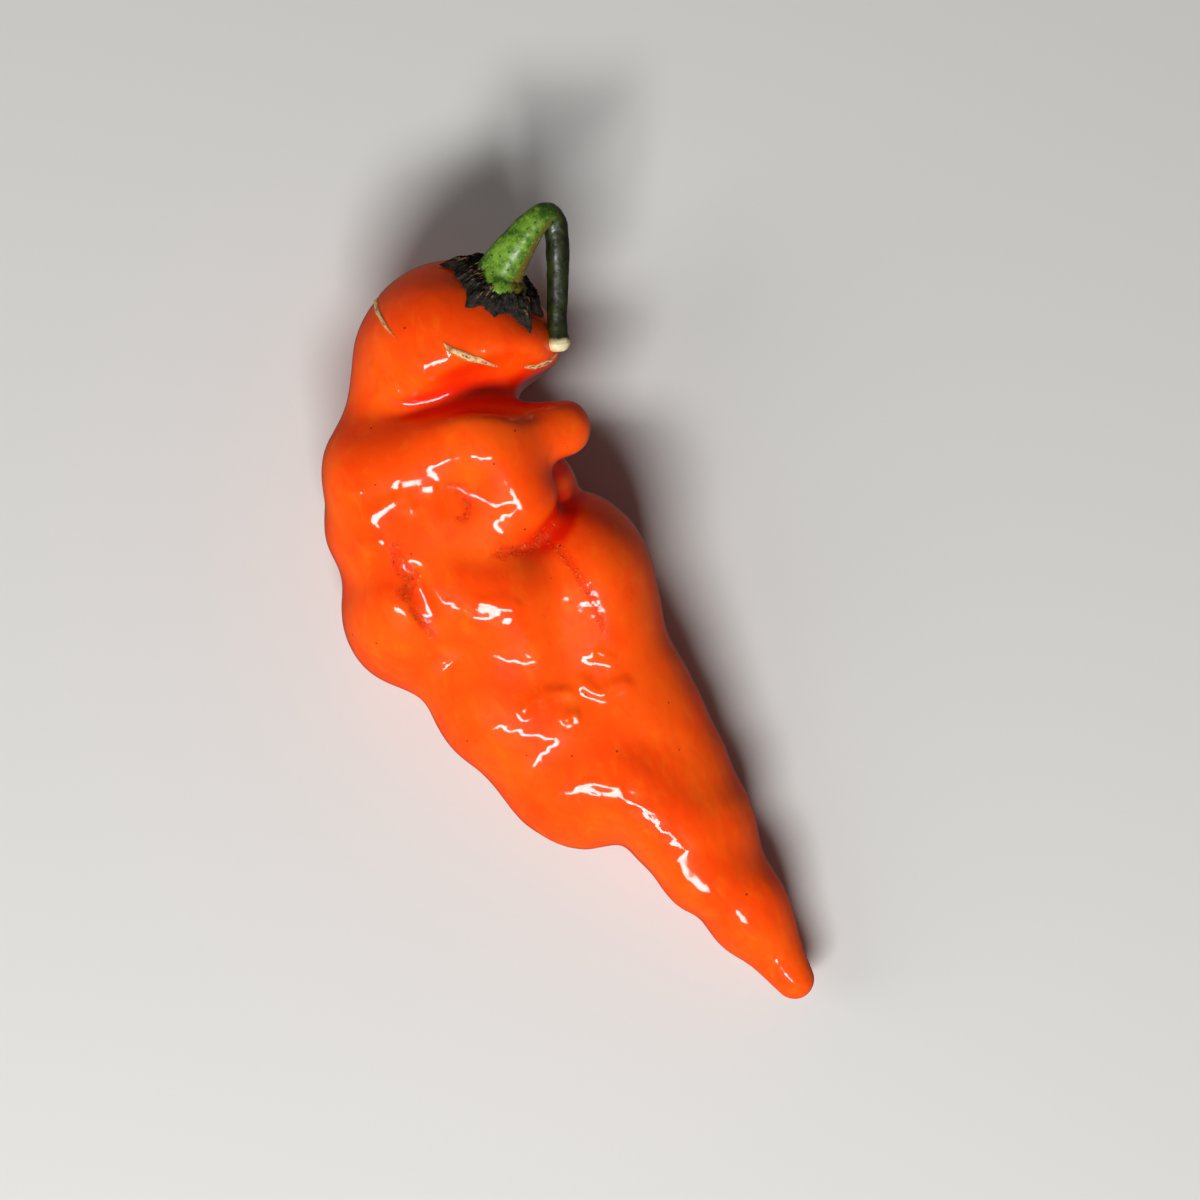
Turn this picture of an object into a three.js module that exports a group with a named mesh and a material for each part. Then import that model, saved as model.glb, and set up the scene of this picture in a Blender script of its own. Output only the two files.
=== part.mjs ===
// An orange chilli pepper, as picked, lying on its side: a lobed, tapering pod, the dried calyx on
// its shoulder, and the green pedicel, which hooks over and comes down beside the pod.
//
// Units are millimetres. Z is up and the surface it lies on is z = 0. Y runs from the tip to the
// stem end, and X across the pod. Each piece is the skin of a distance field: rounded lobes that
// run into one another, with creases pressed in where they meet.
import * as THREE from "three";

// ---- Driving dimensions ----
const FIT_GAP = 0.3; // clearance between neighbouring pieces
const FLOOR_EDGE = 0.2; // rounding around the patches where the pod rests
const CALYX_RADIUS = 4.7; // to the notches between its teeth
const CALYX_THICKNESS = 1.1;
const CALYX_DEPTH = 5; // how far the disc may dip below its centre as it follows the shoulder
const TOOTH_COUNT = 7;
const TOOTH_LENGTH = 1.2;
const EDGE_ROUNDING = 0.5; // of the calyx and of the pedicel's foot
const PEDICEL_BLEND = 0.9; // how softly the pedicel's limbs run into one another

// Spacing of the skin's vertices on each piece.
const POD_CELL = 1.5;
const CALYX_CELL = 0.5;
const PEDICEL_CELL = 0.65;

// ---- The pod ----
// A ball lobe has a centre, three radii and a turn about z in degrees. A limb lobe tapers from one
// point and radius to another. The last number is how softly it runs into the lobes before it.
const ball = (centre, radii, turn, blend) => ({ centre, radii, turn, blend });
const limb = (from, fromRadius, to, toRadius, blend) => ({ from, fromRadius, to, toRadius, blend });

const POD_LOBES = {
  trunk: ball([-2.8, 5, 7], [11, 14, 6.6], 4, 0),
  slopeOfTheTrunk: limb([-3, 6.8, 10.9], 6.3, [-4.2, -4, 5.8], 6.4, 2.5),
  lowerTrunk: ball([-1.4, -6.4, 6.3], [9.4, 10, 6.8], 10, 2.5),
  taper: limb([-0.6, -10.5, 5.7], 7.1, [3.4, -21.3, 5.2], 5.5, 3),
  tail: limb([3.4, -21.3, 5.2], 5.5, [4.6, -32.3, 4.4], 3.85, 3),
  tip: limb([4.6, -32.3, 4.4], 3.85, [5.7, -40.3, 3.9], 2, 2),
  spine1: limb([-4, -12.4, 8.8], 4.2, [-0.5, -14.6, 8.7], 4.2, 2),
  spine2: limb([-0.5, -14.6, 8.7], 4.2, [1.5, -19, 8], 3.9, 2),
  spine3: limb([1.5, -19, 8], 3.9, [2.2, -26.6, 6.9], 3.4, 2),
  spine4: limb([2.2, -26.6, 6.9], 3.4, [4.9, -30.5, 6], 3, 2),
  rightWall: limb([3.8, -1, 8.7], 5.7, [5.3, -15.3, 6], 4.65, 2.5),
  leftFlank: ball([-8, -2, 6.6], [7, 9.3, 7.2], 12, 2.5),
  leftBelly: ball([-6.3, -12.2, 5.6], [5.7, 7.9, 6.2], 26, 2),
  leftLower: ball([-13.2, 9.3, 7], [6.2, 7, 7.9], 0, 3),
  leftCrest: ball([-12.3, 11.2, 9.2], [4.6, 5.2, 7.5], 0, 2.5),
  leftUpper: ball([-10.4, 18.5, 8], [6.4, 6.5, 8.4], -20, 2.5),
  leftMid: ball([-7, 12, 9], [6, 8, 7.9], 0, 3),
  rightShoulder: ball([6, 5.3, 8], [5.7, 7.9, 8.4], -6, 3.5),
  chestRoll: limb([-9.4, 22.5, 13.2], 4.3, [1.2, 22.3, 16.2], 4, 2.5),
  chestLeft: ball([-8, 16.6, 10.3], [6, 5.4, 6.6], 0, 2.5),
  chestMid: limb([-4, 17.5, 13.2], 4.4, [-1, 14.6, 13], 4.2, 2.5),
  chestTongue: limb([2, 20.6, 15.9], 4.2, [2.4, 15, 14], 3.9, 1.6),
  arm: limb([2.9, 20.9, 14.6], 4.2, [9.1, 19.4, 12.6], 2.9, 2),
  armUnder: ball([5.8, 15, 7.5], [2.5, 3.4, 5], 0, 1),
  head: ball([2.9, 31.9, 9.4], [9, 8.2, 10], 0, 1.4),
  headRight: ball([7.8, 28.5, 9.4], [5.3, 4.7, 8.9], 0, 2.5),
  cheek: limb([-2, 31.4, 9.2], 4.2, [-8.7, 24.8, 10.7], 4.7, 4),
};

// Creases between the lobes, pressed into the pod in the same way.
const POD_CREASES = {
  neck: limb([-1, 27.2, 18.4], 0.8, [8, 24.6, 17.8], 2.3, 2.5),
  neckSide: ball([11.6, 23.5, 10], [4.7, 1.5, 14], -8, 1.5),
  underTongue: limb([-1.6, 11.3, 17.9], 0.5, [4.4, 10.5, 17.7], 0.9, 1.2),
  pit: ball([-3.4, 17.2, 18.9], [1.1, 1.4, 0.9], 0, 1.4),
  leftGroove: limb([-10.4, 12.6, 17.5], 0.6, [-10.9, 5.5, 16], 0.7, 1.5),
};

// ---- The stem end ----
const SHOULDER = new THREE.Vector3(9.2, 34.2, 13.9); // the calyx's centre on the pod
const STEM_AXIS = new THREE.Vector3(0.76, 0.47, 0.45).normalize(); // the way the pedicel leaves it

// The pedicel's centre line and radius: from its spread foot to the waist, up to the bend, over,
// and down to the knob at its broken end.
const PEDICEL_ROUTE = [
  { at: [8.5, 34, 13.9], radius: 3.1 },
  { at: [9.2, 34.4, 14.4], radius: 3.55 },
  { at: [9.9, 34.9, 14.9], radius: 3.05 },
  { at: [10.7, 35.6, 15.3], radius: 2.3 },
  { at: [11.9, 36.3, 15.9], radius: 2 },
  { at: [13.4, 37.1, 16.6], radius: 1.75 },
  { at: [14.8, 37.8, 17.1], radius: 1.5 },
  { at: [15.9, 38.2, 17.4], radius: 1.3 },
  { at: [16.8, 38.3, 17.1], radius: 1.25 },
  { at: [17.3, 37.8, 16.6], radius: 1.22 },
  { at: [17.2, 36.7, 16.1], radius: 1.22 },
  { at: [16.4, 34.7, 15.6], radius: 1.18 },
  { at: [15.1, 32.1, 14.9], radius: 1.08 },
  { at: [13.8, 29.6, 14.4], radius: 1.02 },
  { at: [13, 27.9, 14.2], radius: 1.02 },
  { at: [12.7, 27.2, 14.1], radius: 1.12 },
  { at: [12.5, 26.75, 14], radius: 1.2 },
  { at: [12.35, 26.35, 13.95], radius: 0.95 },
];

// ---- Distance fields ----
function ballDistance({ centre, radii, turn }, x, y, z) {
  const angle = THREE.MathUtils.degToRad(turn);
  const dx = x - centre[0];
  const dy = y - centre[1];
  const u = (dx * Math.cos(angle) + dy * Math.sin(angle)) / radii[0];
  const v = (dy * Math.cos(angle) - dx * Math.sin(angle)) / radii[1];
  const w = (z - centre[2]) / radii[2];
  const reach = Math.hypot(u, v, w);
  const slope = Math.hypot(u / radii[0], v / radii[1], w / radii[2]);
  return (reach * (reach - 1)) / Math.max(slope, 1e-6);
}

// A limb is two balls and the cone that touches both. A point is measured from the cone where the
// cone's normal through it starts between the two centres, and from the nearer ball elsewhere.
function limbDistance({ from, fromRadius, to, toRadius }, x, y, z) {
  const axis = [to[0] - from[0], to[1] - from[1], to[2] - from[2]];
  const offset = [x - from[0], y - from[1], z - from[2]];
  const length = Math.hypot(...axis);
  const along = (offset[0] * axis[0] + offset[1] * axis[1] + offset[2] * axis[2]) / length;
  const away = Math.sqrt(Math.max(Math.hypot(...offset) ** 2 - along ** 2, 0));
  const sine = (fromRadius - toRadius) / length;
  const cosine = Math.sqrt(1 - sine * sine);
  const foot = along - (away * sine) / cosine;
  if (foot <= 0) {
    return Math.hypot(along, away) - fromRadius;
  }
  if (foot >= length) {
    return Math.hypot(along - length, away) - toRadius;
  }
  return away * cosine + along * sine - fromRadius;
}

function lobeDistance(lobe, x, y, z) {
  return lobe.radii ? ballDistance(lobe, x, y, z) : limbDistance(lobe, x, y, z);
}

function softMin(a, b, blend) {
  if (blend <= 0 || !Number.isFinite(a)) {
    return Math.min(a, b);
  }
  const overlap = Math.max(blend - Math.abs(a - b), 0) / blend;
  return Math.min(a, b) - (overlap * overlap * blend) / 4;
}

function softMax(a, b, blend) {
  return -softMin(-a, -b, blend);
}

function podField(x, y, z) {
  let distance = Infinity;
  for (const lobe of Object.values(POD_LOBES)) {
    distance = softMin(distance, lobeDistance(lobe, x, y, z), lobe.blend);
  }
  for (const crease of Object.values(POD_CREASES)) {
    distance = softMax(distance, -lobeDistance(crease, x, y, z), crease.blend);
  }
  return softMax(distance, -z, FLOOR_EDGE);
}

// Two directions across the stem axis, to measure angles around it.
const ACROSS = new THREE.Vector3(0, 0, 1).cross(STEM_AXIS).normalize();
const UPWARD = STEM_AXIS.clone().cross(ACROSS);

// The calyx is a thin disc with a pointed edge, lying on the pod's shoulder.
function calyxField(x, y, z) {
  const offset = new THREE.Vector3(x, y, z).sub(SHOULDER);
  const along = offset.dot(STEM_AXIS);
  const right = offset.dot(ACROSS);
  const up = offset.dot(UPWARD);
  const tooth = 0.5 + 0.5 * Math.cos(TOOTH_COUNT * Math.atan2(up, right));
  const edge = Math.hypot(right, up) - CALYX_RADIUS - TOOTH_LENGTH * tooth ** 3;
  const middleHeight = FIT_GAP + CALYX_THICKNESS / 2;
  const shell = Math.abs(podField(x, y, z) - middleHeight) - CALYX_THICKNESS / 2;
  return Math.max(softMax(shell, edge, EDGE_ROUNDING), -along - CALYX_DEPTH);
}

function pedicelLimbs() {
  return PEDICEL_ROUTE.slice(1).map((end, i) => {
    const start = PEDICEL_ROUTE[i];
    return limb(start.at, start.radius, end.at, end.radius, PEDICEL_BLEND);
  });
}

const PEDICEL_LIMBS = pedicelLimbs();

// The pedicel keeps its clearance to the calyx under its foot and to the pod beside its end.
function pedicelField(x, y, z) {
  let distance = Infinity;
  for (const part of PEDICEL_LIMBS) {
    distance = softMin(distance, limbDistance(part, x, y, z), part.blend);
  }
  const clearance = Math.min(podField(x, y, z), calyxField(x, y, z)) - FIT_GAP;
  return softMax(distance, -clearance, EDGE_ROUNDING);
}

// ---- Skinning a field ----
function fieldOnGrid(field, box, cell) {
  const counts = box.getSize(new THREE.Vector3()).divideScalar(cell).ceil().toArray();
  const nodes = counts.map((count) => count + 1);
  const nodeAt = (i, j, k) => i + nodes[0] * (j + nodes[1] * k);
  const values = new Float64Array(nodes[0] * nodes[1] * nodes[2]);
  for (let k = 0; k < nodes[2]; k++) {
    for (let j = 0; j < nodes[1]; j++) {
      for (let i = 0; i < nodes[0]; i++) {
        const point = [box.min.x + i * cell, box.min.y + j * cell, box.min.z + k * cell];
        values[nodeAt(i, j, k)] = field(...point);
      }
    }
  }
  return { counts, nodeAt, values };
}

function gradient(field, point) {
  const step = 1e-3;
  const { x, y, z } = point;
  return new THREE.Vector3(
    field(x + step, y, z) - field(x - step, y, z),
    field(x, y + step, z) - field(x, y - step, z),
    field(x, y, z + step) - field(x, y, z - step),
  ).divideScalar(2 * step);
}

// Moves a point on to the surface by Newton's method, and keeps it close to where it started.
function settle(field, start, reach) {
  const point = start.clone();
  for (let round = 0; round < 4; round++) {
    const slope = gradient(field, point);
    const distance = field(point.x, point.y, point.z);
    point.addScaledVector(slope, -distance / Math.max(slope.lengthSq(), 0.25));
  }
  return point.sub(start).clampLength(0, reach).add(start);
}

const AXIS_BITS = [1, 2, 4]; // a cell's corners are numbered 0 to 7, with one bit for each axis

function cornerPoint(corner) {
  return new THREE.Vector3(corner & 1, (corner >> 1) & 1, (corner >> 2) & 1);
}

// The corners of a cell that are inside the surface, in groups joined along the cell's edges.
function insideGroups(values) {
  const groups = [];
  const seen = new Set();
  for (let first = 0; first < 8; first++) {
    if (values[first] < 0 && !seen.has(first)) {
      seen.add(first);
      groups.push(growGroup([first], values, seen));
    }
  }
  return groups;
}

function growGroup(group, values, seen) {
  for (const corner of group) {
    for (const bit of AXIS_BITS) {
      const other = corner ^ bit;
      if (values[other] < 0 && !seen.has(other)) {
        seen.add(other);
        group.push(other);
      }
    }
  }
  return group;
}

// The middle of the places where the surface cuts the edges that leave a group of corners, or
// null for a cell that is inside all over.
function middleOfCuts(values, group) {
  const middle = new THREE.Vector3();
  let cuts = 0;
  for (const corner of group) {
    for (const bit of AXIS_BITS) {
      const other = corner ^ bit;
      if (values[other] >= 0) {
        const share = values[corner] / (values[corner] - values[other]);
        middle.add(cornerPoint(corner).lerp(cornerPoint(other), share));
        cuts += 1;
      }
    }
  }
  return cuts ? middle.divideScalar(cuts) : null;
}

// One vertex for each group of inside corners, in every cell that the surface passes through.
function netPoints(field, box, cell, { counts, nodeAt, values }) {
  const points = [];
  const vertexOf = new Map(); // from a cell's number times eight, plus the corner
  for (let k = 0; k < counts[2]; k++) {
    for (let j = 0; j < counts[1]; j++) {
      for (let i = 0; i < counts[0]; i++) {
        const corners = [...Array(8).keys()].map((corner) => {
          return values[nodeAt(i + (corner & 1), j + ((corner >> 1) & 1), k + ((corner >> 2) & 1))];
        });
        for (const group of insideGroups(corners)) {
          const middle = middleOfCuts(corners, group);
          if (middle) {
            group.forEach((corner) => vertexOf.set(nodeAt(i, j, k) * 8 + corner, points.length));
            const start = middle.add(new THREE.Vector3(i, j, k)).multiplyScalar(cell).add(box.min);
            points.push(settle(field, start, cell / 2));
          }
        }
      }
    }
  }
  return { points, vertexOf };
}

// Surface nets: the vertices above, and one four-sided face across each edge of the grid that the
// surface cuts.
function skin(field, box, cell) {
  const grid = fieldOnGrid(field, box, cell);
  const { values, nodeAt } = grid;
  const { points, vertexOf } = netPoints(field, box, cell, grid);
  const strides = [nodeAt(1, 0, 0), nodeAt(0, 1, 0), nodeAt(0, 0, 1)];
  const triangles = [];
  for (let node = 0; node < values.length; node++) {
    for (let axis = 0; axis < 3; axis++) {
      const next = node + strides[axis];
      if (next < values.length && values[node] < 0 !== values[next] < 0) {
        const [u, v] = [(axis + 1) % 3, (axis + 2) % 3];
        const inner = values[node] < 0 ? 0 : AXIS_BITS[axis];
        const quad = QUAD_RING.map(([du, dv]) => {
          const cellNumber = node - du * strides[u] - dv * strides[v];
          return vertexOf.get(cellNumber * 8 + inner + du * AXIS_BITS[u] + dv * AXIS_BITS[v]);
        });
        if (inner) {
          quad.reverse();
        }
        triangles.push(...splitQuad(points, quad));
      }
    }
  }
  return closedGeometry(points, triangles);
}

// The four cells around an edge of the grid, anticlockwise seen from the edge's far end.
const QUAD_RING = [
  [1, 1],
  [0, 1],
  [0, 0],
  [1, 0],
];

function splitQuad(points, [a, b, c, d]) {
  const shorter = points[a].distanceTo(points[c]) < points[b].distanceTo(points[d]);
  return shorter ? [a, b, c, a, c, d] : [a, b, d, b, c, d];
}

function closedGeometry(points, triangles) {
  const geometry = new THREE.BufferGeometry();
  geometry.setFromPoints(points);
  geometry.setIndex(triangles);
  geometry.computeVertexNormals();
  return geometry;
}

// ---- The pieces ----
function piece(name, geometry, color, roughness) {
  const material = new THREE.MeshStandardMaterial({ color, roughness, metalness: 0 });
  const mesh = new THREE.Mesh(geometry, material);
  mesh.name = name;
  return mesh;
}

function box(low, high) {
  return new THREE.Box3(new THREE.Vector3(...low), new THREE.Vector3(...high));
}

function pod() {
  const space = box([-21, -44, -0.7], [15, 42, 22]);
  return piece("pod", skin(podField, space, POD_CELL), 0xf9551a, 0.22);
}

function calyx() {
  const space = box([1, 26, 5], [17, 43, 22]);
  return piece("calyx", skin(calyxField, space, CALYX_CELL), 0x1c1712, 0.85);
}

function pedicel() {
  const space = box([4, 24, 8], [20, 42, 21]);
  return piece("pedicel", skin(pedicelField, space, PEDICEL_CELL), 0x6f9a24, 0.45);
}

// The origin is under the middle of the whole pepper, on the surface it lies on.
const pepper = new THREE.Group();
pepper.name = "chilli_pepper";
pepper.add(pod(), calyx(), pedicel());
const extent = new THREE.Box3().setFromObject(pepper);
const middle = extent.getCenter(new THREE.Vector3());
pepper.position.set(-middle.x, -middle.y, -extent.min.z);

export default pepper;
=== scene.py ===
"""An orange chilli pepper lying on its side on a pale table, lit by a soft studio window.

The pod is sculpted as a distance field, the same one that its CAD solid has: rounded lobes that run
into one another, and creases pressed in where they meet. Its skin is then worked over with folds,
wrinkles, pits and corky scars. The shapes below are in millimetres, in the frame that the CAD's
lobes are laid out in. FRAME_SHIFT takes them to the row's own frame.
"""

import itertools
import math

import bpy
import numpy as np
from mathutils import Matrix, Vector


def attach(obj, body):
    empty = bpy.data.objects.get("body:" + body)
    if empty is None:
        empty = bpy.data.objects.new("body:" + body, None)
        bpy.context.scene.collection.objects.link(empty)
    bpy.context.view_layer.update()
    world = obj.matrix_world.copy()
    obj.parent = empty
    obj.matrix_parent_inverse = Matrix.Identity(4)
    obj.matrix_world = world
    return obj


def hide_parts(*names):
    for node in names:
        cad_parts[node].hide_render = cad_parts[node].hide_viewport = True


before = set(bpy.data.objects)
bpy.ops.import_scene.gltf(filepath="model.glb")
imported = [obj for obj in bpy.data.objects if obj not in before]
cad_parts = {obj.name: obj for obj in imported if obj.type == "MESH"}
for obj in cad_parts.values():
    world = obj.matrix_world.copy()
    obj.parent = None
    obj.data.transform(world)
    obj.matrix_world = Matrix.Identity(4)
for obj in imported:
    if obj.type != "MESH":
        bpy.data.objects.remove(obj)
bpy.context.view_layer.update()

MM = 0.001
FRAME_SHIFT = np.array([0.32, 0.975, 0])  # puts the middle of the pepper over the origin
BODY = "root"


# ---- The pod's lobes ----
def ball(centre, radii, turn, blend):
    """A lobe with a centre, three radii, a turn about z in degrees and a soft joint."""
    return {"centre": centre, "radii": radii, "turn": turn, "blend": blend}


def limb(start, start_radius, end, end_radius, blend):
    """A lobe that tapers from one point and radius to another."""
    return {"ends": (start, end), "reach": (start_radius, end_radius), "blend": blend}


POD_LOBES = [
    ball((-2.8, 5.0, 7.0), (11, 14, 6.6), 4, 0),  # trunk
    limb((-3.0, 6.8, 10.9), 6.3, (-4.2, -4.0, 5.8), 6.4, 2.5),  # slope of the trunk
    ball((-1.4, -6.4, 6.3), (9.4, 10.0, 6.8), 10, 2.5),  # lower trunk
    limb((-0.6, -10.5, 5.7), 7.1, (3.4, -21.3, 5.2), 5.5, 3),  # taper
    limb((3.4, -21.3, 5.2), 5.5, (4.6, -32.3, 4.4), 3.85, 3),  # tail
    limb((4.6, -32.3, 4.4), 3.85, (5.7, -40.3, 3.9), 2.0, 2),  # tip
    limb((-4.0, -12.4, 8.8), 4.2, (-0.5, -14.6, 8.7), 4.2, 2),  # spine 1
    limb((-0.5, -14.6, 8.7), 4.2, (1.5, -19.0, 8.0), 3.9, 2),  # spine 2
    limb((1.5, -19.0, 8.0), 3.9, (2.2, -26.6, 6.9), 3.4, 2),  # spine 3
    limb((2.2, -26.6, 6.9), 3.4, (4.9, -30.5, 6.0), 3.0, 2),  # spine 4
    limb((3.8, -1.0, 8.7), 5.7, (5.3, -15.3, 6.0), 4.65, 2.5),  # right wall
    ball((-8.0, -2.0, 6.6), (7.0, 9.3, 7.2), 12, 2.5),  # left flank
    ball((-6.3, -12.2, 5.6), (5.7, 7.9, 6.2), 26, 2),  # left belly
    ball((-13.2, 9.3, 7.0), (6.2, 7, 7.9), 0, 3),  # left lower
    ball((-12.3, 11.2, 9.2), (4.6, 5.2, 7.5), 0, 2.5),  # left crest
    ball((-10.4, 18.5, 8.0), (6.4, 6.5, 8.4), -20, 2.5),  # left upper
    ball((-7.0, 12.0, 9.0), (6, 8, 7.9), 0, 3),  # left mid
    ball((6, 5.3, 8.0), (5.7, 7.9, 8.4), -6, 3.5),  # right shoulder
    limb((-9.4, 22.5, 13.2), 4.3, (1.2, 22.3, 16.2), 4.0, 2.5),  # chest roll
    ball((-8.0, 16.6, 10.3), (6, 5.4, 6.6), 0, 2.5),  # chest left
    limb((-4.0, 17.5, 13.2), 4.4, (-1.0, 14.6, 13.0), 4.2, 2.5),  # chest mid
    limb((2.0, 20.6, 15.9), 4.2, (2.4, 15.0, 14.0), 3.9, 1.6),  # chest tongue
    limb((2.9, 20.9, 14.6), 4.2, (9.1, 19.4, 12.6), 2.9, 2),  # arm
    ball((5.8, 15, 7.5), (2.5, 3.4, 5), 0, 1),  # arm under
    ball((2.9, 31.9, 9.4), (9.0, 8.2, 10), 0, 1.4),  # head
    ball((7.8, 28.5, 9.4), (5.3, 4.7, 8.9), 0, 2.5),  # head right
    limb((-2.0, 31.4, 9.2), 4.2, (-8.7, 24.8, 10.7), 4.7, 4.0),  # cheek
]

POD_CREASES = [
    limb((-1.0, 27.2, 18.4), 0.8, (8.0, 24.6, 17.8), 2.3, 2.5),  # neck
    ball((11.6, 23.5, 10), (4.7, 1.5, 14), -8, 1.5),  # between the head and the arm
    limb((-1.6, 11.3, 17.9), 0.5, (4.4, 10.5, 17.7), 0.9, 1.2),  # under the tongue
    ball((-3.4, 17.2, 18.9), (1.1, 1.4, 0.9), 0, 1.4),  # pit
    limb((-10.4, 12.6, 17.5), 0.6, (-10.9, 5.5, 16.0), 0.7, 1.5),  # beside the left crest
]

FLOOR_EDGE = 0.2  # rounding around the patches where the pod rests


# ---- Distance fields, over arrays of points ----
def ball_distance(lobe, points):
    turn = math.radians(lobe["turn"])
    x, y, z = (points - lobe["centre"]).T
    rx, ry, rz = lobe["radii"]
    u = (x * math.cos(turn) + y * math.sin(turn)) / rx
    v = (y * math.cos(turn) - x * math.sin(turn)) / ry
    w = z / rz
    reach = np.sqrt(u * u + v * v + w * w)
    slope = np.sqrt((u / rx) ** 2 + (v / ry) ** 2 + (w / rz) ** 2)
    return reach * (reach - 1) / np.maximum(slope, 1e-6)


def limb_distance(lobe, points):
    """Two balls and the cone that touches both."""
    start, end = np.array(lobe["ends"], float)
    start_radius, end_radius = lobe["reach"]
    length = np.linalg.norm(end - start)
    offset = points - start
    along = offset @ (end - start) / length
    away = np.sqrt(np.maximum((offset**2).sum(1) - along**2, 0))
    sine = (start_radius - end_radius) / length
    cosine = math.sqrt(1 - sine * sine)
    foot = along - away * sine / cosine
    cone = away * cosine + along * sine - start_radius
    before = np.hypot(along, away) - start_radius
    after = np.hypot(along - length, away) - end_radius
    return np.where(foot <= 0, before, np.where(foot >= length, after, cone))


def lobe_distance(lobe, points):
    return ball_distance(lobe, points) if "radii" in lobe else limb_distance(lobe, points)


def soft_min(a, b, blend):
    overlap = np.maximum(blend - np.abs(a - b), 0) / max(blend, 1e-9)
    return np.minimum(a, b) - overlap * overlap * blend / 4


def soft_max(a, b, blend):
    return -soft_min(-a, -b, blend)


def pod_field(points):
    distance = lobe_distance(POD_LOBES[0], points)
    for lobe in POD_LOBES[1:]:
        distance = soft_min(distance, lobe_distance(lobe, points), lobe["blend"])
    for crease in POD_CREASES:
        distance = soft_max(distance, -lobe_distance(crease, points), crease["blend"])
    return soft_max(distance, -points[:, 2], FLOOR_EDGE)


TETRAHEDRON = np.array([[1, -1, -1], [-1, -1, 1], [-1, 1, -1], [1, 1, 1]], float)


def value_and_slope(field, points, step=0.02):
    """The field at the points and its gradient, from the four corners of a small tetrahedron."""
    values = [field(points + step * corner) for corner in TETRAHEDRON]
    slope = sum(value[:, None] * corner for value, corner in zip(values, TETRAHEDRON))
    return sum(values) / 4, slope / (4 * step)


def settle(field, points, rounds=3):
    """Moves points on to the field's surface by Newton's method."""
    for _ in range(rounds):
        value, slope = value_and_slope(field, points)
        points = points - slope * (value / np.maximum((slope**2).sum(1), 0.25))[:, None]
    return points


def unit(vectors):
    return vectors / np.maximum(np.linalg.norm(vectors, axis=-1, keepdims=True), 1e-9)


def smooth_step(value, low, high):
    share = np.clip((value - low) / (high - low), 0, 1)
    return share * share * (3 - 2 * share)


# ---- Noise ----
SPIN = np.array(Matrix.Rotation(0.9, 3, Vector((0.3, 1, 0.5)).normalized()))


def noise(points, size, seed):
    """Smooth random values from -1 to 1, in bumps of about that size in millimetres."""
    table = np.random.default_rng(seed).uniform(-1, 1, (32, 32, 32))
    spot = points @ SPIN / size + 100
    cell = np.floor(spot).astype(int)
    share = spot - cell
    share = share**3 * (share * (share * 6 - 15) + 10)
    total = np.zeros(len(points))
    for corner in itertools.product((0, 1), repeat=3):
        weight = np.where(np.array(corner), share, 1 - share).prod(axis=1)
        i, j, k = ((cell + corner) % 32).T
        total += weight * table[i, j, k]
    return total


def ridges(points, size, seed):
    """Sharp crests from 0 to 1 where the noise changes sign."""
    return 1 - np.minimum(np.abs(noise(points, size, seed)) * 2.2, 1)


# ---- Meshes ----
def mesh_points(mesh):
    co = np.empty(len(mesh.vertices) * 3)
    mesh.vertices.foreach_get("co", co)
    return co.reshape(-1, 3) / MM - FRAME_SHIFT


def place_points(mesh, points):
    mesh.vertices.foreach_set("co", ((points + FRAME_SHIFT) * MM).ravel())
    mesh.update()


def add_value(mesh, name, values):
    attribute = mesh.attributes.new(name, "FLOAT", "POINT")
    attribute.data.foreach_set("value", np.asarray(values, np.float32))


def link_piece(name, mesh):
    piece = bpy.data.objects.new(name, mesh)
    bpy.context.scene.collection.objects.link(piece)
    mesh.polygons.foreach_set("use_smooth", np.ones(len(mesh.polygons), bool))
    return piece


def capped_tube(name, rings):
    """A tube's skin from rings of points (rows, points around, 3), with a fan over each end."""
    rows, around, _ = rings.shape
    points = [*rings.reshape(-1, 3), rings[0].mean(0), rings[-1].mean(0)]
    first_middle, last_middle = len(points) - 2, len(points) - 1
    faces = []
    for k in range(around):
        following = (k + 1) % around
        for low in range(0, (rows - 1) * around, around):
            high = low + around
            faces.append((low + k, low + following, high + following, high + k))
        last = (rows - 1) * around
        faces.append((first_middle, following, k))
        faces.append((last_middle, last + k, last + following))
    mesh = bpy.data.meshes.new(name)
    mesh.from_pydata([tuple((p + FRAME_SHIFT) * MM) for p in points], [], faces)
    mesh.update()
    return mesh


def even_copy(node, voxel):
    """A CAD node's shape, remeshed into even four-sided faces of that size in millimetres."""
    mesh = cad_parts[node].data.copy()
    mesh.materials.clear()
    piece = bpy.data.objects.new(node + "_copy", mesh)
    bpy.context.scene.collection.objects.link(piece)
    remesh = piece.modifiers.new("even", "REMESH")
    remesh.mode = "VOXEL"
    remesh.voxel_size = voxel * MM
    shape = piece.evaluated_get(bpy.context.evaluated_depsgraph_get())
    even = bpy.data.meshes.new_from_object(shape)
    bpy.data.objects.remove(piece)
    return even


def relax(points, edges, share):
    """Moves each point part of the way to the middle of its neighbours."""
    ends = np.concatenate([edges, edges[:, ::-1]])
    count = np.bincount(ends[:, 0], minlength=len(points))
    sums = [np.bincount(ends[:, 0], points[ends[:, 1], k], len(points)) for k in range(3)]
    middle = np.stack(sums, 1) / np.maximum(count, 1)[:, None]
    return points + share * (middle - points)


# ---- Lines that lie on the pod ----
DRAPE_SPACING = 0.6
ABOVE_THE_POD = 30.0  # the height that points drop from


def drop_to_pod(points, rounds):
    """Lowers points until they lie on the pod."""
    for _ in range(rounds):
        points[:, 2] -= 0.9 * pod_field(points)


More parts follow.
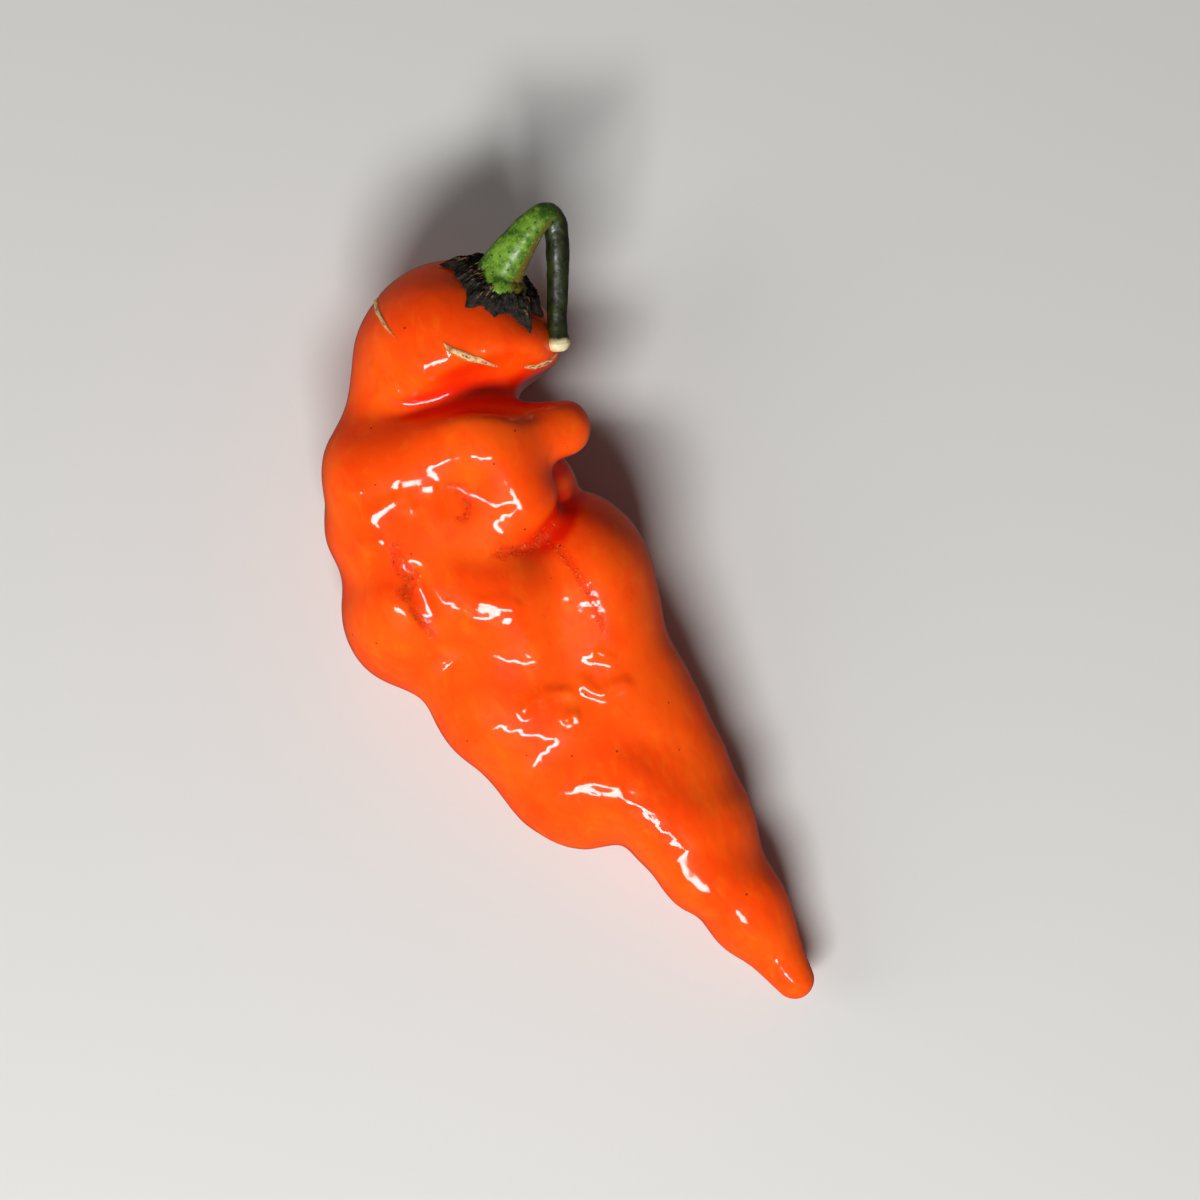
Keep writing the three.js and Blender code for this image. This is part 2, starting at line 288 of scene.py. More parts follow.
def drape(route):
    """Points of a line on top of the pod, from a route given in x and y."""
    route = np.array(route, float)
    spans = []
    for start, end in zip(route, route[1:]):
        steps = max(2, int(np.linalg.norm(end - start) / DRAPE_SPACING) + 1)
        spans.append(start + (end - start) * np.arange(steps)[:, None] / steps)
    flat = np.concatenate(spans + [route[-1:]])
    points = np.column_stack([flat, np.full(len(flat), ABOVE_THE_POD)])
    drop_to_pod(points, 35)
    return points


def line_distance(points, line):
    """Distance from each point to the line, and how far along it the nearest place is, 0 to 1."""
    lengths = np.linalg.norm(np.diff(line, axis=0), axis=1)
    starts = np.concatenate([[0], np.cumsum(lengths)])
    best = np.full(len(points), np.inf)
    where = np.zeros(len(points))
    for start, end, length, before in zip(line, line[1:], lengths, starts):
        along = np.clip((points - start) @ (end - start) / max(length**2, 1e-9), 0, 1)
        away = np.linalg.norm(points - start - along[:, None] * (end - start), axis=1)
        nearer = away < best
        best[nearer] = away[nearer]
        where[nearer] = ((before + along * length) / starts[-1])[nearer]
    return best, where


def taper(share, ends=0.2):
    """1 along the middle of a line, falling to 0 at its ends."""
    return smooth_step(share, 0, ends) * smooth_step(1 - share, 0, ends)


# ---- The pod ----
POD_VOXEL = 0.275

# Low ridges on the skin: a route in x and y, a height and a half width.
POD_FOLDS = [
    ([(-6.3, 8.4), (-4.3, 6.7), (-1.6, 5.2)], 0.2, 0.7),
    ([(-14.8, 11.4), (-12.2, 10.5)], 0.1, 0.5),
    ([(2.4, -1.5), (3.0, -2.4), (4.2, -3.4)], 0.3, 0.6),
    ([(-6.2, -5.2), (-6.1, -3.9), (-4.7, -3.1), (-1.2, -4.4), (-0.1, -4.1)], 0.36, 0.6),
    ([(-1.2, -4.4), (-0.1, -4.0), (1.0, -5.6), (2.4, -5.7), (4.9, -6.0)], 0.4, 0.65),
    ([(-3.4, -6.7), (-2.4, -6.2), (-1.5, -6.8)], 0.34, 0.55),
    ([(-4.3, 33.4), (-5.0, 31.2), (-5.6, 29.2)], 0.16, 0.6),
    ([(-2.8, 32.6), (-3.4, 30.6), (-3.9, 28.6)], 0.14, 0.6),
    ([(-13.0, 19.2), (-10.6, 19.6), (-8.9, 19.9), (-7.2, 19.1), (-6.8, 17.4)], 0.28, 0.8),
    ([(-12.6, 22.9), (-10.6, 21.8)], 0.16, 0.5),
    ([(-13.9, 17.7), (-11.2, 17.1)], 0.2, 0.5),
    ([(-7.8, 20.7), (-6.0, 19.9), (-4.1, 18.9)], 0.13, 0.9),
    ([(1.5, 31.2), (4.2, 29.5)], 0.1, 0.6),
    ([(-0.9, 29.9), (0.4, 28.2)], 0.12, 0.5),
    (
        [(-6.0, -12.7), (-3.9, -13.1), (-1.2, -14.6), (-1.8, -15.8), (0.0, -17.5), (1.4, -18.7)],
        0.12,
        0.5,
    ),
]

# Lines where the skin is pinched into small dark pits: a route and a half width.
PIT_LINES = [
    ([(-2.7, 11.0), (-0.4, 10.6), (1.0, 10.0), (2.8, 10.8), (5.0, 11.2)], 0.55),
    ([(2.5, 10.3), (3.7, 9.0), (4.3, 6.4), (4.5, 3.5), (4.4, 1.0), (3.9, -0.9)], 0.4),
    ([(-10.3, 16.6), (-10.9, 14.5), (-10.3, 12.6), (-11.4, 11.4), (-11.8, 10.3)], 0.8),
    ([(-11.8, 10.3), (-11.2, 7.7), (-11.0, 6.1)], 0.35),
    ([(-3.4, 19.0), (-2.4, 18.6), (-2.2, 17.4), (-2.3, 16.1), (-3.1, 15.3), (-4.2, 15.9)], 0.3),
]

# Corky scars, grown where the skin once split: a route and a half width.
SCARS = [
    ([(-1.6, 39.2), (-2.0, 37.5), (-1.8, 35.4), (-1.2, 33.1)], 0.32),
    ([(2.3, 31.9), (2.8, 30.5), (4.3, 28.8), (6.5, 26.8)], 0.42),
    ([(8.1, 26.2), (9.5, 25.6), (11.0, 25.6), (12.2, 26.2)], 0.45),
    ([(7.3, 24.4), (8.6, 24.1), (10.2, 24.4)], 0.24),
]


def broad_relief(points):
    """The larger waves and folds of the skin, in millimetres."""
    relief = 0.16 * noise(points, 7.0, 1) + 0.06 * noise(points, 3.3, 2)
    wander = 0.35 * np.column_stack([noise(points, 1.3, seed) for seed in (4, 5, 6)])
    for route, height, width in POD_FOLDS:
        away, share = line_distance(points + wander, drape(route))
        relief += height * taper(share) * np.exp(-((away / width) ** 2))
    return relief


def near_folds(points):
    """1 on the pod's folds, falling to 0 beside them."""
    near = np.zeros(len(points))
    for route, _, width in POD_FOLDS:
        away, share = line_distance(points, drape(route))
        near = np.maximum(near, taper(share, 0.1) * np.exp(-((away / (2.2 * width)) ** 4)))
    return near


# The top of the pod is drawn into terraces. Between a terrace's flat and its steep part the slope
# changes along a crisp line, so that little of the skin has the slope in between.
TERRACE_UP = np.array([0.442, 0.897])  # the way up the terraces, in x and y
TERRACE_SIDE = np.array([0.897, -0.442])
TERRACE_SLOPE = 0.357  # the slope up that little of the skin has
TERRACE_LEAN = 0.073  # and the slope to the side
TERRACE_STEP = 0.15  # spacing of the grid they are worked out on
TERRACE_CORNER = np.array([-24.0, -48.0])  # where the grid starts, to the side and up
TERRACE_SPAN = (48, 96)
TERRACE_REACH = 4.0  # how far along the skin a change of height is felt
TERRACE_ROUNDS = 5
LEAN_BAND = 0.4  # the skin is reshaped where its slopes are this close to the two above
SLOPE_BAND = 0.3
SLOPE_CLEARANCE = 0.13  # how far the slope is moved away from TERRACE_SLOPE
TERRACE_TOP = 22.5  # the height that the grid's points drop from


class Terraces:
    """A grid over the pod that holds how far each place is raised or lowered."""

    def __init__(self):
        shape = wide, tall = [round(span / TERRACE_STEP) for span in TERRACE_SPAN]
        side = TERRACE_CORNER[0] + TERRACE_STEP * np.arange(wide)
        up = TERRACE_CORNER[1] + TERRACE_STEP * np.arange(tall)
        sides, ups = np.meshgrid(side, up, indexing="ij")
        flat = sides[..., None] * TERRACE_SIDE + ups[..., None] * TERRACE_UP
        start = np.full((wide, tall, 1), TERRACE_TOP)
        points = np.concatenate([flat, start], axis=2).reshape(-1, 3)
        for _ in range(22):
            drop_to_pod(points, 1)
            points[:, 2] = np.maximum(points[:, 2], 0)
        height = points[:, 2].reshape(shape)
        inside = smooth_step(height, 1.0, 3.0)
        base = height + inside * broad_relief(points).reshape(shape)
        inside *= 1 - near_folds(points).reshape(shape)
        jagged = (0.07 * noise(points, 1.1, 14) + 0.06 * noise(points, 0.6, 15)).reshape(shape)
        side_waves = 2 * np.pi * np.fft.fftfreq(wide, TERRACE_STEP)[:, None]
        up_waves = 2 * np.pi * np.fft.fftfreq(tall, TERRACE_STEP)
        spread = side_waves**2 + up_waves**2 + TERRACE_REACH**-2
        self.raised = np.zeros(shape)
        for _ in range(TERRACE_ROUNDS):
            lean, slope = np.gradient(base + self.raised, TERRACE_STEP)
            off = slope - TERRACE_SLOPE
            near = inside * np.exp(-(((lean - TERRACE_LEAN) / LEAN_BAND) ** 2))
            away = np.where(off + jagged > 0, 1, -1) * np.maximum(np.abs(off), SLOPE_CLEARANCE)
            push = near * (away - off) * (np.abs(off) < SLOPE_BAND)
            change = np.fft.ifft2(-1j * up_waves * np.fft.fft2(push) / spread).real
            self.raised += 0.8 * change

    def at(self, points):
        """How far the skin is raised at points, read off the grid."""
        spot = np.stack([points[:, :2] @ TERRACE_SIDE, points[:, :2] @ TERRACE_UP], axis=1)
        spot = (spot - TERRACE_CORNER) / TERRACE_STEP
        cell = np.clip(spot.astype(int), 0, np.array(self.raised.shape) - 2)
        share = np.clip(spot - cell, 0, 1)
        total = 0
        for corner in itertools.product((0, 1), repeat=2):
            weight = np.where(np.array(corner), share, 1 - share).prod(axis=1)
            total = total + weight * self.raised[cell[:, 0] + corner[0], cell[:, 1] + corner[1]]
        return total


def pod_relief(points):
    """How far the skin stands out from the smooth pod, and how deep in its marks each point is.

    A mark's value is a distance in millimetres from its edge, positive inside the mark.
    """
    relief = broad_relief(points)
    along = points * np.array([1.0, 0.45, 1.0])
    patches = smooth_step(noise(points, 8.0, 12), 0, 0.4)
    crinkled = 0.5 + smooth_step(-points[:, 1], 6, 14) + 0.5 * patches
    relief += crinkled * (0.018 * noise(along, 1.0, 3) + 0.009 * noise(along, 0.5, 10))
    pitted = np.full(len(points), -1.0)
    for route, width in PIT_LINES:
        away, share = line_distance(points, drape(route))
        reach = width * taper(share, 0.15) * (1 + 0.5 * noise(points, 0.9, 11))
        pitted = np.maximum(pitted, reach - away)
        relief -= 0.08 * taper(share) * np.exp(-((away / 0.4) ** 2))
    rough = smooth_step(pitted, -0.2, 0.2)
    relief -= 0.07 * rough * np.maximum(noise(points, 0.45, 7), 0)
    cork = np.full(len(points), -1.0)
    along_cork = np.zeros(len(points))
    for route, width in SCARS:
        line = drape(route)
        away, share = line_distance(points, line)
        edge = width * np.sqrt(taper(share, 0.5)) * (1 + 0.2 * noise(points, 0.9, 8))
        along_cork = np.where(edge - away > cork, share * len(line) * 0.6, along_cork)
        cork = np.maximum(cork, edge - away)
        relief -= 0.06 * taper(share) * np.exp(-(((away - width) / 0.25) ** 2))
    relief += smooth_step(cork, -0.05, 0.15) * (0.1 + 0.06 * noise(points, 0.4, 9))
    clear_of_floor = smooth_step(points[:, 2], 0.2, 2.5)
    return relief * clear_of_floor, {"pitted": pitted, "cork": cork, "along_cork": along_cork}


HOLLOW_REACHES = (1.5, 4.0)


def make_pod():
    mesh = even_copy("pod", POD_VOXEL)
    edges = np.empty(len(mesh.edges) * 2, np.int64)
    mesh.edges.foreach_get("vertices", edges)
    edges = edges.reshape(-1, 2)
    points = settle(pod_field, mesh_points(mesh))
    for _ in range(3):
        points = settle(pod_field, relax(points, edges, 0.6), 1)
    points = settle(pod_field, points, 2)
    normals = unit(value_and_slope(pod_field, points)[1])
    hollow = 0  # 1 for each distance at which other parts of the pod close a point in, which paints shade into the skin's colour
    for reach in HOLLOW_REACHES:
        hollow = hollow + np.clip(1 - pod_field(points + normals * reach) / reach, 0, 1)
    relief, marks = pod_relief(points)
    lifted = Terraces().at(points) * smooth_step(normals[:, 2], 0.25, 0.6)
    points = points + normals * relief[:, None]
    points[:, 2] += lifted
    place_points(mesh, points)
    add_value(mesh, "hollow", hollow)
    for name, values in marks.items():
        add_value(mesh, name, values)
    return link_piece("pod_skin", mesh)


# ---- The stem end ----
SHOULDER = np.array([9.2, 34.2, 13.9])  # the calyx's centre on the pod
STEM_AXIS = unit(np.array([0.76, 0.47, 0.45]))  # the way the pedicel leaves it
ACROSS = unit(np.cross([0, 0, 1.0], STEM_AXIS))
UPWARD = np.cross(STEM_AXIS, ACROSS)

CALYX_NOTCH = 4.6  # radius between the calyx's teeth
CALYX_HUB = 1.2  # radius that its surface is worked out from, under the pedicel's foot
CALYX_RISE = 0.95  # how much thicker it is at the hub than at its edge
CALYX_EDGE = 0.12

# Each tooth's direction in degrees, its length and its half width in degrees.
CALYX_TEETH = [
    (12, 1.3, 15),
    (85, 1.5, 16),
    (150, 1.0, 18),
    (215, 1.2, 16),
    (268, 0.8, 12),
    (306, 1.9, 17),
    (342, 0.5, 10),
]


def turned(angles):
    """Directions around the stem axis: 0 degrees is up, and they turn towards the far side."""
    angles = np.asarray(angles)[..., None]
    return np.cos(angles) * UPWARD + np.sin(angles) * ACROSS


def around_calyx(angles):
    """Places on a flat ring, for noise that runs on without a seam around the calyx."""
    return 4 * np.column_stack([np.cos(angles), np.sin(angles), np.zeros(len(angles))])


def calyx_edge(angles):
    """The radius of the calyx's torn, toothed edge."""
    degrees = np.degrees(angles) % 360
    edge = np.full(len(angles), CALYX_NOTCH)
    for at, length, width in CALYX_TEETH:
        away = np.abs((degrees - at + 180) % 360 - 180)
        edge += length * np.maximum(1 - away / width, 0) ** 1.2
    ring = around_calyx(angles)
    return edge + 0.28 * noise(ring, 0.8, 20) + 0.2 * noise(ring, 0.3, 21)


def over_pod(starts, heights):
    """Moves points along the stem axis until they are at these heights above the pod."""
    points = starts + 3 * STEM_AXIS
    for _ in range(40):
        points = points - (pod_field(points) - heights)[:, None] * 0.8 * STEM_AXIS
    return points


def make_calyx():
    """A fibrous disc over the shoulder: rings outwards over its top, then back in underneath."""
    around, rows = 480, 40
    angles = np.linspace(0, 2 * math.pi, around, endpoint=False)
    edge = calyx_edge(angles)
    ring = around_calyx(angles)
    rings = []
    fibres = []
    for row, share in enumerate([*np.linspace(0.25, 1, rows), 0.97, 0.8, 0.5]):
        radius = CALYX_HUB + (edge - CALYX_HUB) * share
        strands = ring + np.array([0, 0, 0.8 * share])
        broken = 0.6 + 0.5 * noise(strands * [1, 1, 3], 0.5, 24)
        fibre = ridges(strands, 0.24, 22) * broken
        crumble = 0.34 * fibre + 0.2 * noise(ring + np.array([0, 0, 4 * share]), 0.5, 23)
        height = np.full(around, 0.02)
        if row < rows:
            height = CALYX_RISE * (1 - share**4) + CALYX_EDGE
            height = height + crumble * smooth_step(1 - share, 0, 0.12)
        rings.append(over_pod(SHOULDER + radius[:, None] * turned(angles), height))
        fibres.append(fibre * smooth_step(1 - share, 0.02, 0.18))
    mesh = capped_tube("dried_calyx", np.array(rings))
    add_value(mesh, "fibre", np.append(np.concatenate(fibres), [0, 0]))
    return link_piece("dried_calyx", mesh)


# The pedicel's centre line and radius: up from its foot, over the bend, and down to its end.
PEDICEL_ROUTE = [
    ((8.5, 34.0, 13.9), 3.1),
    ((9.2, 34.4, 14.4), 3.55),
    ((9.9, 34.9, 14.9), 3.05),
    ((10.7, 35.6, 15.3), 2.3),
    ((11.9, 36.3, 15.9), 2.0),
    ((13.4, 37.1, 16.6), 1.75),
    ((14.8, 37.8, 17.1), 1.5),
    ((15.9, 38.2, 17.4), 1.3),
    ((16.8, 38.3, 17.1), 1.25),
    ((17.3, 37.8, 16.6), 1.22),
    ((17.2, 36.7, 16.1), 1.22),
    ((16.4, 34.7, 15.6), 1.18),
    ((15.1, 32.1, 14.9), 1.08),
    ((13.8, 29.6, 14.4), 1.02),
    ((13.0, 27.9, 14.2), 1.02),
    ((12.7, 27.2, 14.1), 1.12),
    ((12.5, 26.75, 14.0), 1.2),
    ((12.35, 26.35, 13.95), 0.98),
    ((12.25, 26.1, 13.9), 0.6),
]


def smooth_route(knots, count):
    """A Catmull-Rom curve through the knots, which may hold several numbers each."""
    knots = np.array(knots, float)
    padded = np.concatenate([2 * knots[:1] - knots[1:2], knots, 2 * knots[-1:] - knots[-2:-1]])
    spots = np.linspace(0, len(knots) - 1 - 1e-9, count)
    base = spots.astype(int)
    t = (spots - base)[:, None]
    a, b, c, d = (padded[base + k] for k in range(4))
    square = 2 * a - 5 * b + 4 * c - d
    cube = 3 * b - a - 3 * c + d
    return 0.5 * (2 * b + (c - a) * t + square * t**2 + cube * t**3)


def sweep_frames(line):
    """For each point of a line, two directions across it that turn as little as they can."""
    tangents = unit(np.gradient(line, axis=0))
    side = unit(np.cross(tangents[0], [0, 0, 1.0]))
    sides = []
    for tangent in tangents:
        side = unit(side - tangent * (side @ tangent))
        sides.append(side)
    sides = np.array(sides)
    return sides, np.cross(tangents, sides)


DRY_WAY = np.array([0.75, -0.55, 0.1])  # the side of the pedicel that has dried brown
FOOT_LENGTH = 1.6  # over which the foot's ribs fade


def make_pedicel():
    around, rows = 72, 260
    curve = smooth_route([(*at, radius) for at, radius in PEDICEL_ROUTE], rows)
    line, radii = curve[:, :3], curve[:, 3]
    sides, ups = sweep_frames(line)
    lengths = np.concatenate([[0], np.cumsum(np.linalg.norm(np.diff(line, axis=0), axis=1))])
    angles = np.linspace(0, 2 * math.pi, around, endpoint=False)
    rings = []
    for row in range(rows):
        flare = math.exp(-lengths[row] / FOOT_LENGTH)
        ribs = (0.02 + 0.09 * flare) * np.cos(5 * angles + 0.6)
        shape = 1 + ribs + 0.03 * np.cos(2 * angles + 1)
        across = np.cos(angles)[:, None] * sides[row] + np.sin(angles)[:, None] * ups[row]
        ring = line[row] + across * (radii[row] * shape)[:, None]
        bumps = 0.05 * noise(ring, 1.1, 30) + 0.03 * noise(ring, 0.45, 31)
        rings.append(ring + across * bumps[:, None])
    mesh = capped_tube("green_pedicel", np.array(rings))
    dry_side = np.outer(sides @ DRY_WAY, np.cos(angles)) + np.outer(ups @ DRY_WAY, np.sin(angles))
    add_value(mesh, "dry_side", np.append(dry_side.ravel(), [0, 0]))
    add_value(mesh, "along", np.append(np.repeat(lengths / lengths[-1], around), [0, 1]))
    return link_piece("green_pedicel", mesh)


# ---- Materials ----
class Nodes:
    """A material's node tree, with short ways to add to it."""

    def __init__(self, name):
        self.material = bpy.data.materials.new(name)
        self.material.use_nodes = True
        self.tree = self.material.node_tree
        self.shader = self.tree.nodes["Principled BSDF"]

    def add(self, kind, settings=None, **inputs):
        """A node with these settings. An input is a value or another node's output.

        An input goes by its name, or by i and its number where several have the same name.
        """
        node = self.tree.nodes.new("ShaderNode" + kind)
        for name, value in (settings or {}).items():
            setattr(node, name, value)
        for name, value in inputs.items():
            key = int(name[1:]) if name[1:].isdigit() else name.replace("_", " ")
            self.put(node.inputs[key], value)
        return node

    def put(self, socket, value):
        if isinstance(value, bpy.types.NodeSocket):
            self.tree.links.new(value, socket)
        else:
            socket.default_value = value

    def surface(self, **inputs):
        for name, value in inputs.items():
            self.put(self.shader.inputs[name.replace("_", " ")], value)

    def value(self, name):
        return self.add("Attribute", {"attribute_name": name}).outputs["Fac"]

    def place(self):
        """Where a point is, in millimetres."""
        spot = self.add("TexCoord").outputs["Object"]
        return self.add("VectorMath", {"operation": "SCALE"}, i0=spot, Scale=1 / MM).outputs[0]

    def stretched(self, vector, scale, turn=(0, 0, 0)):
        return self.add("Mapping", None, Vector=vector, Rotation=turn, Scale=scale).outputs[0]

    def noise(self, vector, size, detail=3.0, rough=0.5, warp=0.0):
        shape = {"Scale": 1 / size, "Detail": detail, "Roughness": rough, "Distortion": warp}
        return self.add("TexNoise", None, Vector=vector, **shape).outputs["Fac"]

    def cells(self, vector, size):
        return self.add("TexVoronoi", None, Vector=vector, Scale=1 / size).outputs["Distance"]

    def math(self, operation, a, b):
        return self.add("Math", {"operation": operation}, i0=a, i1=b).outputs[0]

    def spread(self, value, low, high, to_low=0.0, to_high=1.0):
        """The value's range from low to high, moved smoothly to another range."""
        ranges = {"i1": low, "i2": high, "i3": to_low, "i4": to_high}
        kind = {"interpolation_type": "SMOOTHSTEP"}
        return self.add("MapRange", kind, i0=value, **ranges).outputs[0]

    def mix(self, share, a, b):
        node = self.add("Mix", {"data_type": "RGBA"})
        self.put(node.inputs[0], share)
        self.put(node.inputs[6], a)
        self.put(node.inputs[7], b)
        return node.outputs[2]

    def cover(self, base, share, strength, over):
        """The base colour with another over it, as far as share times strength."""
        return self.mix(self.math("MULTIPLY", share, strength), base, over)

    def bump(self, height, distance, strength=1.0, below=None):
        node = self.add("Bump", None, Height=height, Distance=distance * MM, Strength=strength)
        if below is not None:
            self.put(node.inputs["Normal"], below)
        return node.outputs[0]


def colour(red, green, blue):
    """A colour given as screen values from 0 to 255."""
    return (*((c / 255) ** 2.2 for c in (red, green, blue)), 1.0)


def pod_material():
    n = Nodes("waxy_orange_skin")
    spot = n.place()
    hollow = n.value("hollow")
    broad = n.noise(spot, 8.0, 3, 0.55)
    veins = n.noise(n.stretched(spot, (1, 0.5, 1)), 1.5, 4, 0.6, 0.6)
    skin = n.mix(n.spread(broad, 0.35, 0.65), colour(255, 88, 18), colour(255, 74, 13))
    skin = n.mix(n.spread(veins, 0.52, 0.72, 0, 0.4), skin, colour(255, 108, 22))
    skin = n.mix(n.spread(veins, 0.46, 0.3, 0, 0.35), skin, colour(247, 58, 10))
    # Painted shade: the skin turns a deep red where the pod closes in on itself, in creases and
    # hollows that get less light.
    skin = n.mix(n.spread(hollow, 0.35, 1.15, 0, 0.9), skin, colour(228, 28, 6))

    pitted = n.value("pitted")
    near = n.spread(pitted, -0.35, 0.25)
    ragged = n.noise(spot, 0.35, 4, 0.65)
    skin = n.cover(skin, near, 0.45, colour(236, 46, 8))
    crumbs = n.math("MULTIPLY", n.spread(ragged, 0.55, 0.62), near)
    skin = n.cover(skin, crumbs, 0.75, colour(222, 122, 48))
    torn = n.noise(n.stretched(spot, (1, 1, 1), (0.7, 0.4, 0.9)), 0.3, 5, 0.75, 1.5)
    specks = n.math("MULTIPLY", n.spread(torn, 0.575, 0.63), n.spread(pitted, -0.15, 0.1))
    skin = n.cover(skin, specks, 0.75, colour(134, 28, 8))
    stray = n.spread(n.cells(spot, 2.6), 0.035, 0.06, 1, 0)
    skin = n.cover(skin, stray, 0.8, colour(130, 14, 4))

    cork = n.value("cork")
    corky = n.spread(cork, -0.04, 0.03)
    across = n.math("MULTIPLY", cork, 6.0)
    strand = n.add("CombineXYZ", None, X=across, Y=n.value("along_cork")).outputs[0]
    grain = n.noise(strand, 0.9, 4, 0.6)
    bark = n.mix(n.spread(grain, 0.36, 0.58), colour(150, 84, 40), colour(238, 196, 140))
    bark = n.mix(n.spread(cork, 0.0, 0.14, 0.75, 0), bark, colour(176, 92, 40))
    bark = n.mix(n.spread(n.noise(strand, 0.5, 3), 0.64, 0.7), bark, colour(96, 46, 20))
    skin = n.mix(corky, skin, bark)

    swell = n.math("ADD", n.noise(spot, 0.9, 3), n.math("MULTIPLY", n.noise(spot, 0.22, 2), 0.12))
    soft = n.bump(swell, 0.025, 0.5)
    pores = n.bump(n.math("SUBTRACT", crumbs, specks), 0.05, 0.8, soft)
    bark_bump = n.bump(n.math("MULTIPLY", grain, corky), 0.12, 1.0, pores)
    dull = n.spread(n.math("MULTIPLY", near, n.spread(ragged, 0.45, 0.6)), 0, 1, 1, 0.5)
    wax = n.math("MULTIPLY", n.spread(corky, 0, 1, 0.75, 0.0), dull)
    n.surface(
        Base_Color=skin,
        Roughness=n.spread(corky, 0, 1, 0.36, 0.8),
        Normal=bark_bump,
        Specular_IOR_Level=0.05,
        Coat_Weight=wax,
        Coat_IOR=1.45,
        Coat_Roughness=0.06,
        Coat_Normal=bark_bump,
        Subsurface_Weight=0.15,
        Subsurface_Radius=(0.9, 0.25, 0.1),
        Subsurface_Scale=0.0012,
    )
    return n.material


def calyx_material():
    n = Nodes("dead_calyx")
    spot = n.place()
    grain = n.noise(spot, 0.45, 5, 0.7)
    shade = n.mix(n.spread(grain, 0.35, 0.65), colour(12, 10, 9), colour(54, 42, 30))
    fibre = n.math("MULTIPLY", n.spread(n.value("fibre"), 0.5, 0.75), n.spread(grain, 0.38, 0.55))
    shade = n.mix(fibre, shade, colour(168, 128, 78))
    n.surface(Base_Color=shade, Roughness=0.7, Normal=n.bump(grain, 0.3, 1.0))
    return n.material


def pedicel_material():
    n = Nodes("green_stem")
    spot = n.place()
    along = n.value("along")
    mottle = n.noise(spot, 1.3, 5, 0.65)
    green = n.mix(n.spread(mottle, 0.35, 0.62), colour(48, 88, 16), colour(112, 154, 44))
    dried = n.spread(n.math("ADD", n.value("dry_side"), n.math("MULTIPLY", mottle, 0.8)), 0.85, 1.15)
    green = n.mix(dried, green, colour(104, 88, 26))
    # Painted shade: the pedicel past its bend is coloured a near-black green for the shadow that it
    # lies in.
    painted_shade_green = n.mix(n.spread(mottle, 0.3, 0.7), colour(20, 26, 8), colour(46, 54, 16))
    skin = n.mix(n.spread(along, 0.4, 0.5), green, painted_shade_green)
    specks = n.spread(n.cells(spot, 0.8), 0.1, 0.22, 1, 0)
    skin = n.cover(skin, specks, 0.85, colour(16, 18, 6))
    # Painted highlights: pale specks on the green part of the pedicel, as small glints on its waxy
    # skin.
    painted_glints = n.spread(n.noise(spot, 0.3, 5, 0.75), 0.55, 0.64)
    fresh = n.spread(along, 0.5, 0.35)
    skin = n.cover(skin, n.math("MULTIPLY", painted_glints, fresh), 0.45, colour(176, 200, 104))
    pale = n.mix(n.spread(mottle, 0.3, 0.65), colour(196, 168, 104), colour(232, 222, 176))
    end = n.math("ADD", along, n.math("MULTIPLY", mottle, 0.03))
    skin = n.mix(n.spread(end, 0.955, 0.975), skin, pale)
    n.surface(
        Base_Color=skin,
        Roughness=0.45,
        Normal=n.bump(mottle, 0.16, 0.8),
        Coat_Weight=0.35,
        Coat_Roughness=0.22,
    )
    return n.material


# ---- Build ----
pod = make_pod()
pod.data.materials.append(pod_material())
calyx = make_calyx()
calyx.data.materials.append(calyx_material())
pedicel = make_pedicel()
pedicel.data.materials.append(pedicel_material())

for piece, node, finish in (
    (pod, "pod", "pod_skin"),
    (calyx, "calyx", "dried_calyx"),
    (pedicel, "pedicel", "green_stem"),
):
    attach(piece, BODY)
    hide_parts(node)


# ---- The table ----
TABLE_HALF = 0.6


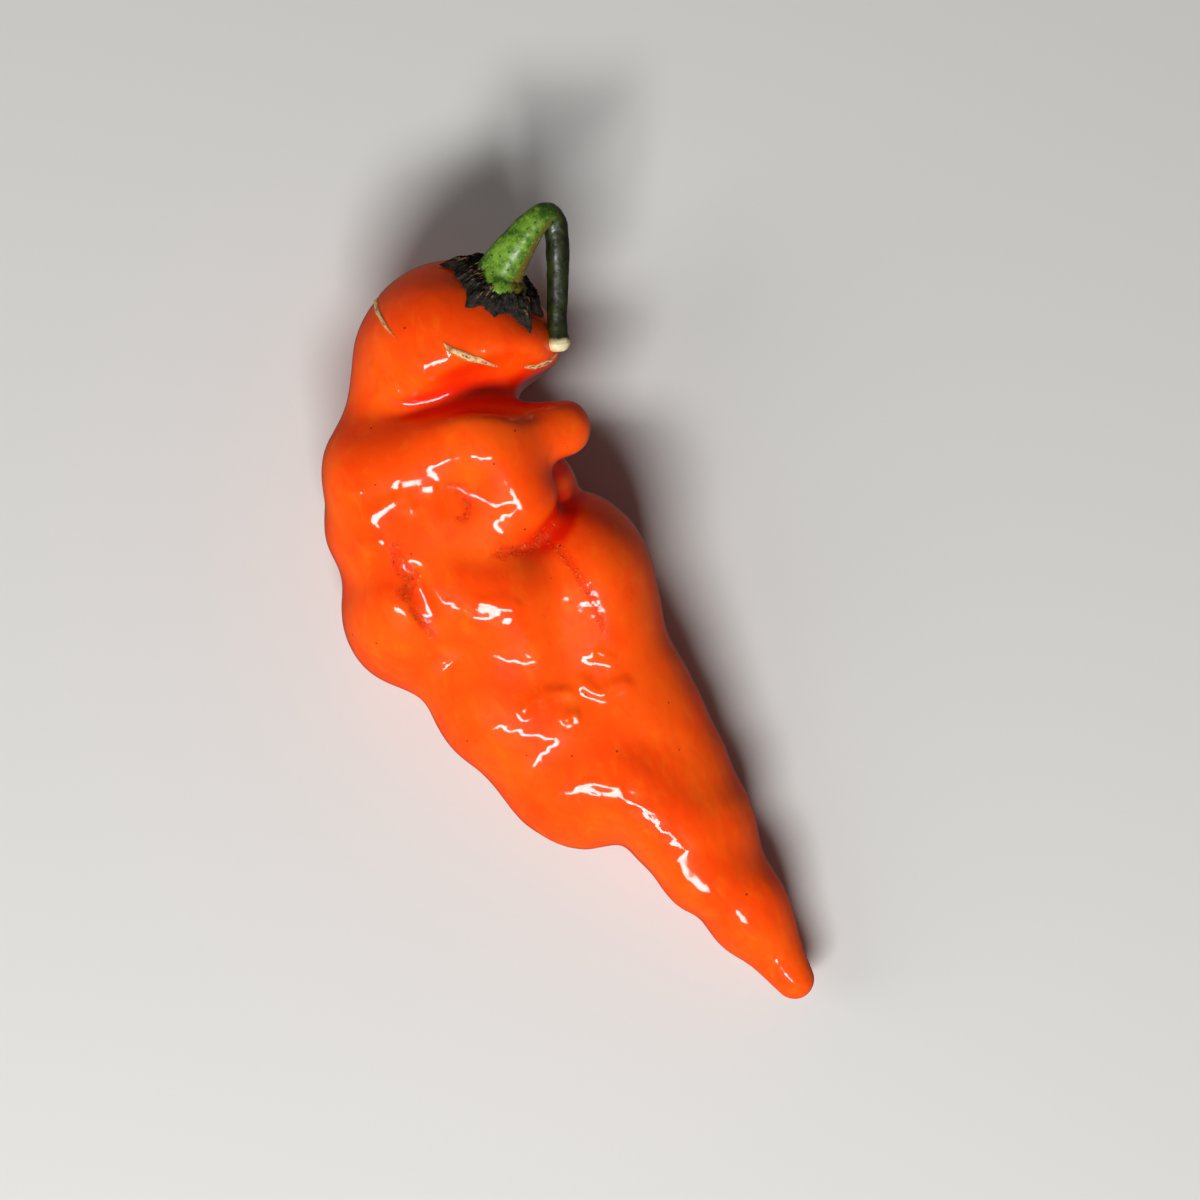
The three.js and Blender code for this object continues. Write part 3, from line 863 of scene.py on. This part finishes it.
def make_floor():
    """A pale matte table that gives its light to the pepper but doesn't show in its gloss."""
    half = TABLE_HALF
    mesh = bpy.data.meshes.new("floor")
    corners = [(-half, -half, 0), (half, -half, 0), (half, half, 0), (-half, half, 0)]
    mesh.from_pydata(corners, [], [(0, 1, 2, 3)])
    floor = link_piece("floor", mesh)
    n = Nodes("pale_table")
    n.surface(Base_Color=colour(205, 204, 201), Roughness=0.7)
    mesh.materials.append(n.material)
    floor.visible_glossy = False


make_floor()


# ---- Camera and lights ----
IMAGE_UP = Vector((0.442, 0.897, 0))  # the picture's own directions on the table
IMAGE_RIGHT = Vector((0.897, -0.442, 0))
AIM = (Vector((5.1, 2.5, 11)) + Vector(FRAME_SHIFT)) * MM
CAMERA_DISTANCE = 0.35
CAMERA_LENS = 106.5


def add_camera():
    """Straight above the pepper, looking down."""
    camera = bpy.data.objects.new("camera", bpy.data.cameras.new("camera"))
    camera.data.lens = CAMERA_LENS
    turn = Matrix((IMAGE_RIGHT, IMAGE_UP, Vector((0, 0, 1)))).transposed()
    camera.matrix_world = Matrix.Translation(AIM + Vector((0, 0, CAMERA_DISTANCE))) @ turn.to_4x4()
    bpy.context.scene.collection.objects.link(camera)
    bpy.context.scene.camera = camera


def add_light(name, direction, distance, size, power):
    """A rectangular lamp that faces the pod, with its long side along the picture's width."""
    lamp = bpy.data.lights.new(name, "AREA")
    lamp.shape = "RECTANGLE"
    lamp.size, lamp.size_y = size
    lamp.energy = power
    back = Vector(direction).normalized()
    side = (IMAGE_RIGHT - back * IMAGE_RIGHT.dot(back)).normalized()
    turn = Matrix((side, back.cross(side), back)).transposed()
    light = bpy.data.objects.new(name, lamp)
    light.matrix_world = Matrix.Translation(AIM + back * distance) @ turn.to_4x4()
    bpy.context.scene.collection.objects.link(light)
    return light


add_camera()
add_light("window", (-0.394, -0.508, 0.766), 0.6, (0.38, 0.12), 4.4)
fill = add_light("fill", (-0.85, 0.42, 0.5), 0.9, (0.5, 0.5), 2.1)
fill.visible_glossy = False  # it opens the shadows, and only the window shows in the gloss

world = bpy.data.worlds.new("room")
world.use_nodes = True
background = world.node_tree.nodes["Background"]
background.inputs["Color"].default_value = (1, 1, 1, 1)
background.inputs["Strength"].default_value = 0.06
bpy.context.scene.world = world
bpy.context.scene.view_settings.view_transform = "Standard"
